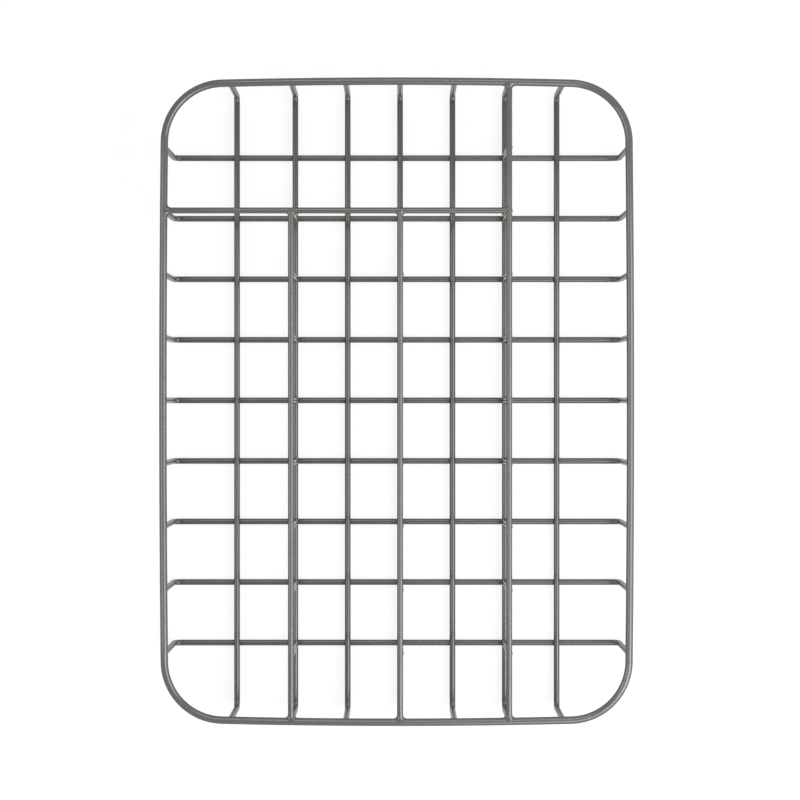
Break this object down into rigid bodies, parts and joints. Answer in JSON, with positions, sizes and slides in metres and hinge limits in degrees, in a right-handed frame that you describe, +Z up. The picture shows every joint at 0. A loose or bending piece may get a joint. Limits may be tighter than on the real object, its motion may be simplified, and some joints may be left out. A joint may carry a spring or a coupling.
{
  "type": "cutlery organizer",
  "caption": "Shallow cutlery tray of welded, powder-coated round steel wire: an open grid floor, a rounded rim ring and railed dividers that form lengthwise lanes and a cross compartment.",
  "frame": {"origin": "middle of the tray on the surface that it stands on", "axes": "+Z up, +Y along the tray towards the end with the cross compartment, +X towards the full-length lane"},
  "size_m": [0.293, 0.4, 0.05],
  "materials": {
    "powder_coat": "semi-gloss warm grey powder coat over welded steel wire"
  },
  "bodies": {
    "root": {"rim": "powder_coat", "cross_wire_1": "powder_coat", "cross_wire_2": "powder_coat", "cross_wire_3": "powder_coat", "cross_wire_4": "powder_coat", "cross_wire_5": "powder_coat", "cross_wire_6": "powder_coat", "cross_wire_7": "powder_coat", "cross_wire_8": "powder_coat", "cross_wire_9": "powder_coat", "lane_wire_1": "powder_coat", "lane_wire_2": "powder_coat", "lane_wire_3": "powder_coat", "lane_wire_4": "powder_coat", "lane_wire_5": "powder_coat", "lane_wire_6": "powder_coat", "lane_wire_7": "powder_coat", "cross_divider_rail": "powder_coat", "left_divider_rail": "powder_coat", "middle_divider_rail": "powder_coat", "right_divider_rail": "powder_coat", "left_divider_post_1": "powder_coat", "left_divider_post_2": "powder_coat", "left_divider_post_3": "powder_coat", "left_divider_post_4": "powder_coat", "left_divider_post_5": "powder_coat", "left_divider_post_6": "powder_coat", "left_divider_post_7": "powder_coat", "left_divider_post_8": "powder_coat", "middle_divider_post_1": "powder_coat", "middle_divider_post_2": "powder_coat", "middle_divider_post_3": "powder_coat", "middle_divider_post_4": "powder_coat", "middle_divider_post_5": "powder_coat", "middle_divider_post_6": "powder_coat", "middle_divider_post_7": "powder_coat", "middle_divider_post_8": "powder_coat", "right_divider_post_1": "powder_coat", "right_divider_post_2": "powder_coat", "right_divider_post_3": "powder_coat", "right_divider_post_4": "powder_coat", "right_divider_post_5": "powder_coat", "right_divider_post_6": "powder_coat", "right_divider_post_7": "powder_coat", "right_divider_post_8": "powder_coat", "right_divider_post_9": "powder_coat"}
  },
  "joints": []
}
